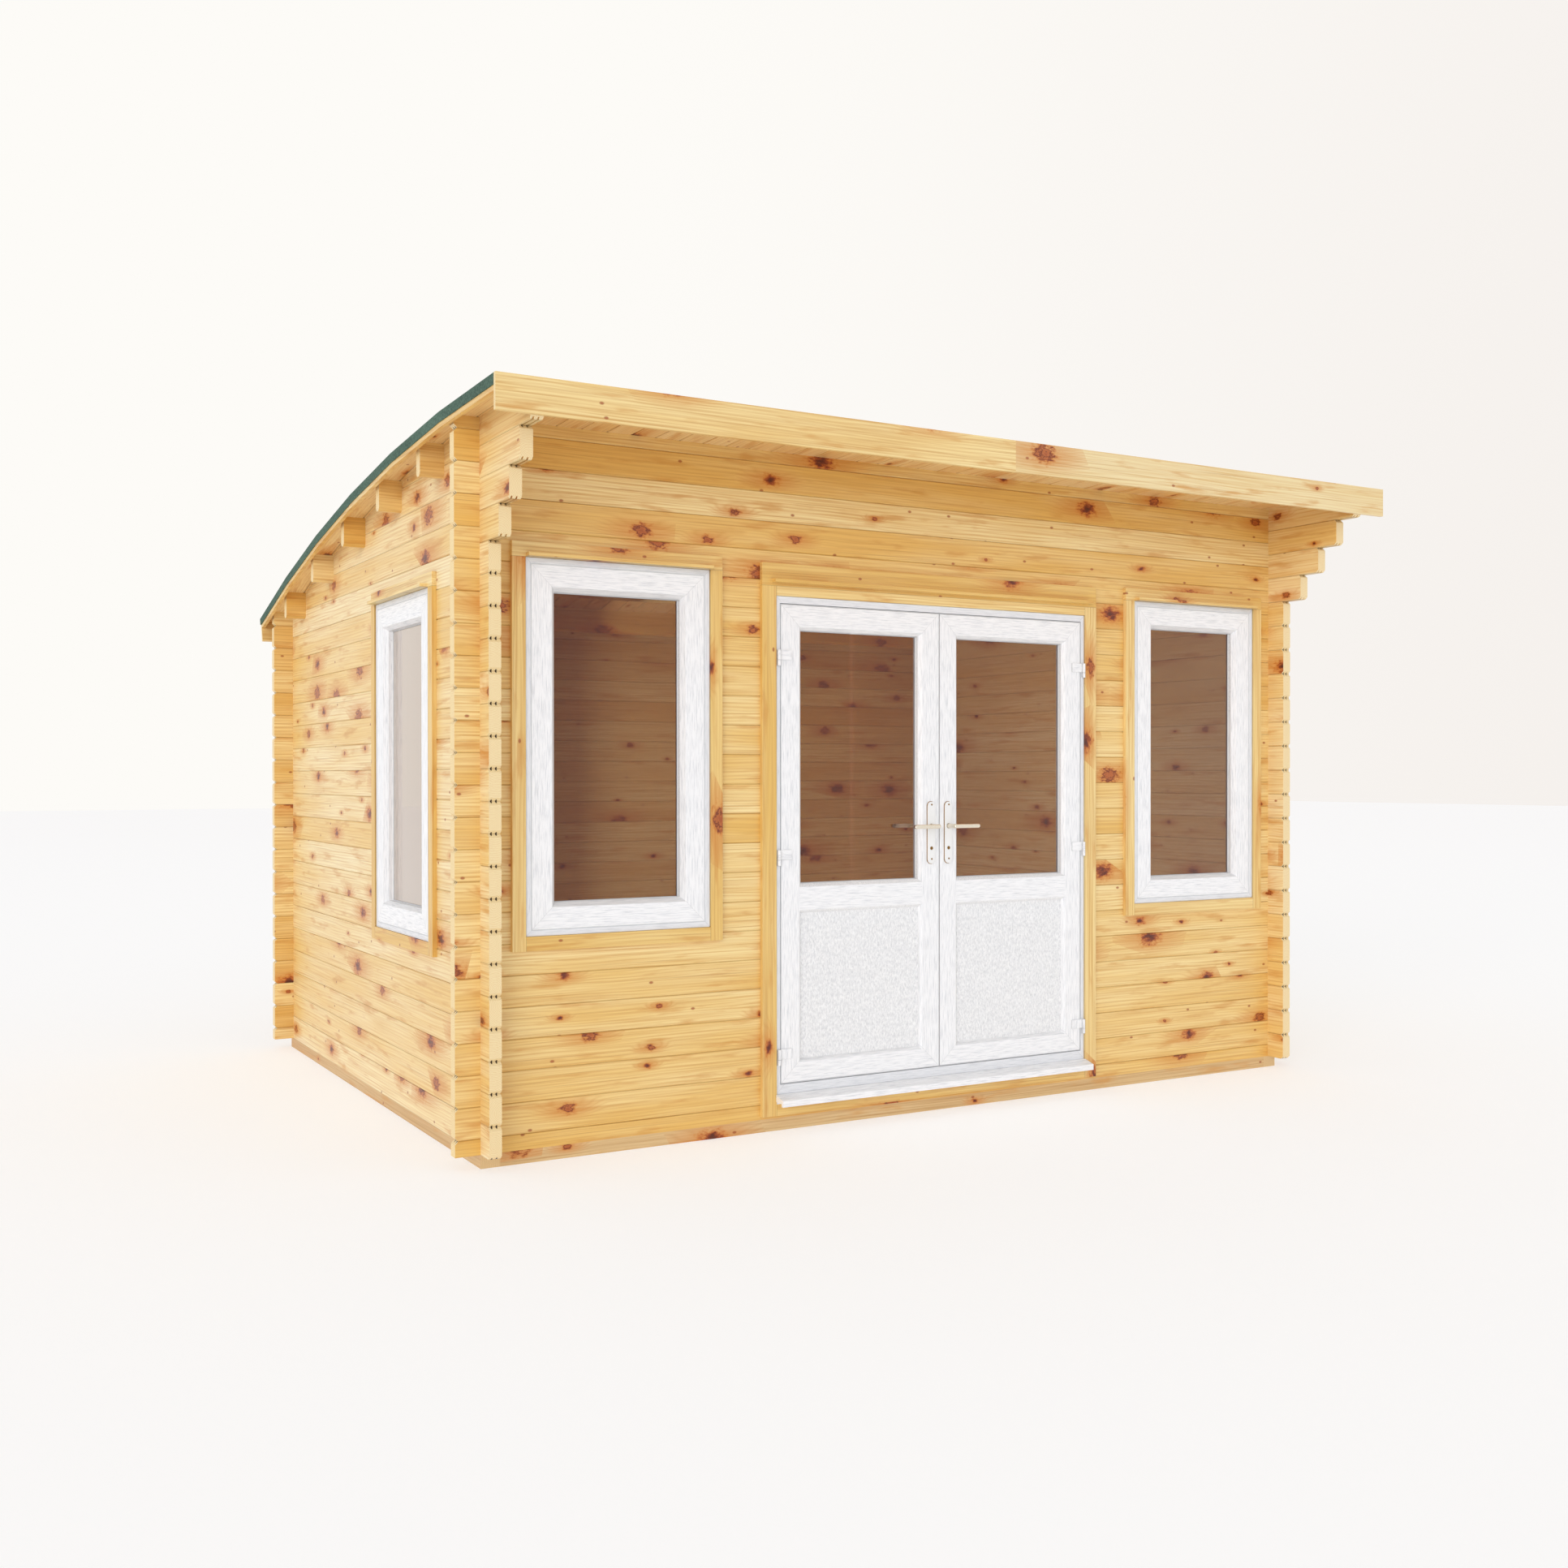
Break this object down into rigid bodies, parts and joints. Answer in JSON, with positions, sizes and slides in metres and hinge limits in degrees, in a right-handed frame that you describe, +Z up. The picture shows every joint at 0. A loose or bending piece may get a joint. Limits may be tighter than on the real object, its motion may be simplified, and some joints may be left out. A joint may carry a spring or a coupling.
{
  "type": "log cabin",
  "caption": "Log cabin with an arched lean-to roof, overhanging front, half-glazed double doors that open outwards and casement windows.",
  "frame": {"origin": "on the ground, under the middle of the walls, on the underside of the middle floor joist", "axes": "+X right along the front wall, +Y from front to rear, +Z up"},
  "size_m": [4.064, 3.4469, 2.597],
  "materials": {
    "log_timber": "planed pine logs with a clear coat",
    "board_timber": "planed pine boards",
    "trim_timber": "planed pine trim with a clear coat",
    "bearer_timber": "sawn treated softwood",
    "mineral_felt": "green mineral roofing felt",
    "white_upvc": "white moulded profile with a fine wood grain",
    "tinted_glass": "bronze tinted double glazing",
    "satin_metal": "satin"
  },
  "bodies": {
    "root": {"door_cill": "white_upvc", "door_frame": "white_upvc", "door_trim": "trim_timber", "floor_boards": "board_timber", "floor_joists": "bearer_timber", "front_fascia_left": "board_timber", "front_fascia_right": "board_timber", "front_wall_head": "log_timber", "front_wall_left": "log_timber", "front_wall_right": "log_timber", "front_wall_sill": "log_timber", "left_bearer": "bearer_timber", "left_front_window_frame": "white_upvc", "left_front_window_glass": "tinted_glass", "left_front_window_sash": "white_upvc", "left_front_window_trim": "trim_timber", "left_gable_board": "board_timber", "left_hinges_on_frame": "white_upvc", "left_side_window_frame": "white_upvc", "left_side_window_glass": "tinted_glass", "left_side_window_sash": "white_upvc", "left_side_window_trim": "trim_timber", "left_wall": "log_timber", "purlins": "log_timber", "rear_fascia": "board_timber", "rear_wall": "log_timber", "right_bearer": "bearer_timber", "right_front_window_frame": "white_upvc", "right_front_window_glass": "tinted_glass", "right_front_window_sash": "white_upvc", "right_front_window_trim": "trim_timber", "right_gable_board": "board_timber", "right_hinges_on_frame": "white_upvc", "right_wall": "log_timber", "roof_boards": "board_timber", "roof_felt": "mineral_felt"},
    "left_door": {"left_door_backplates": "satin_metal", "left_door_glass": "tinted_glass", "left_door_leaf": "white_upvc", "left_door_panel": "white_upvc", "left_hinges_on_leaf": "white_upvc"},
    "left_lever": {"left_door_lever": "satin_metal"},
    "right_door": {"right_door_backplates": "satin_metal", "right_door_glass": "tinted_glass", "right_door_leaf": "white_upvc", "right_door_panel": "white_upvc", "right_hinges_on_leaf": "white_upvc"},
    "right_lever": {"right_door_lever": "satin_metal"}
  },
  "joints": [
    {"name": "left_door_swing", "type": "hinge", "parent": "root", "child": "left_door", "pos_m": [-0.74475, -1.43, 1.033], "axis": [0, 0, -1], "range_deg": [0, 100]},
    {"name": "right_door_swing", "type": "hinge", "parent": "root", "child": "right_door", "pos_m": [0.74475, -1.43, 1.033], "axis": [0, 0, 1], "range_deg": [0, 100]},
    {"name": "left_lever_turn", "type": "hinge", "parent": "left_door", "child": "left_lever", "pos_m": [-0.042, -1.41, 1.142], "axis": [0, -1, 0], "range_deg": [0, 35], "stiffness_Nm_per_rad": 1.5, "springref_deg": -11.46},
    {"name": "right_lever_turn", "type": "hinge", "parent": "right_door", "child": "right_lever", "pos_m": [0.042, -1.41, 1.142], "axis": [0, 1, 0], "range_deg": [0, 35], "stiffness_Nm_per_rad": 1.5, "springref_deg": -11.46}
  ]
}
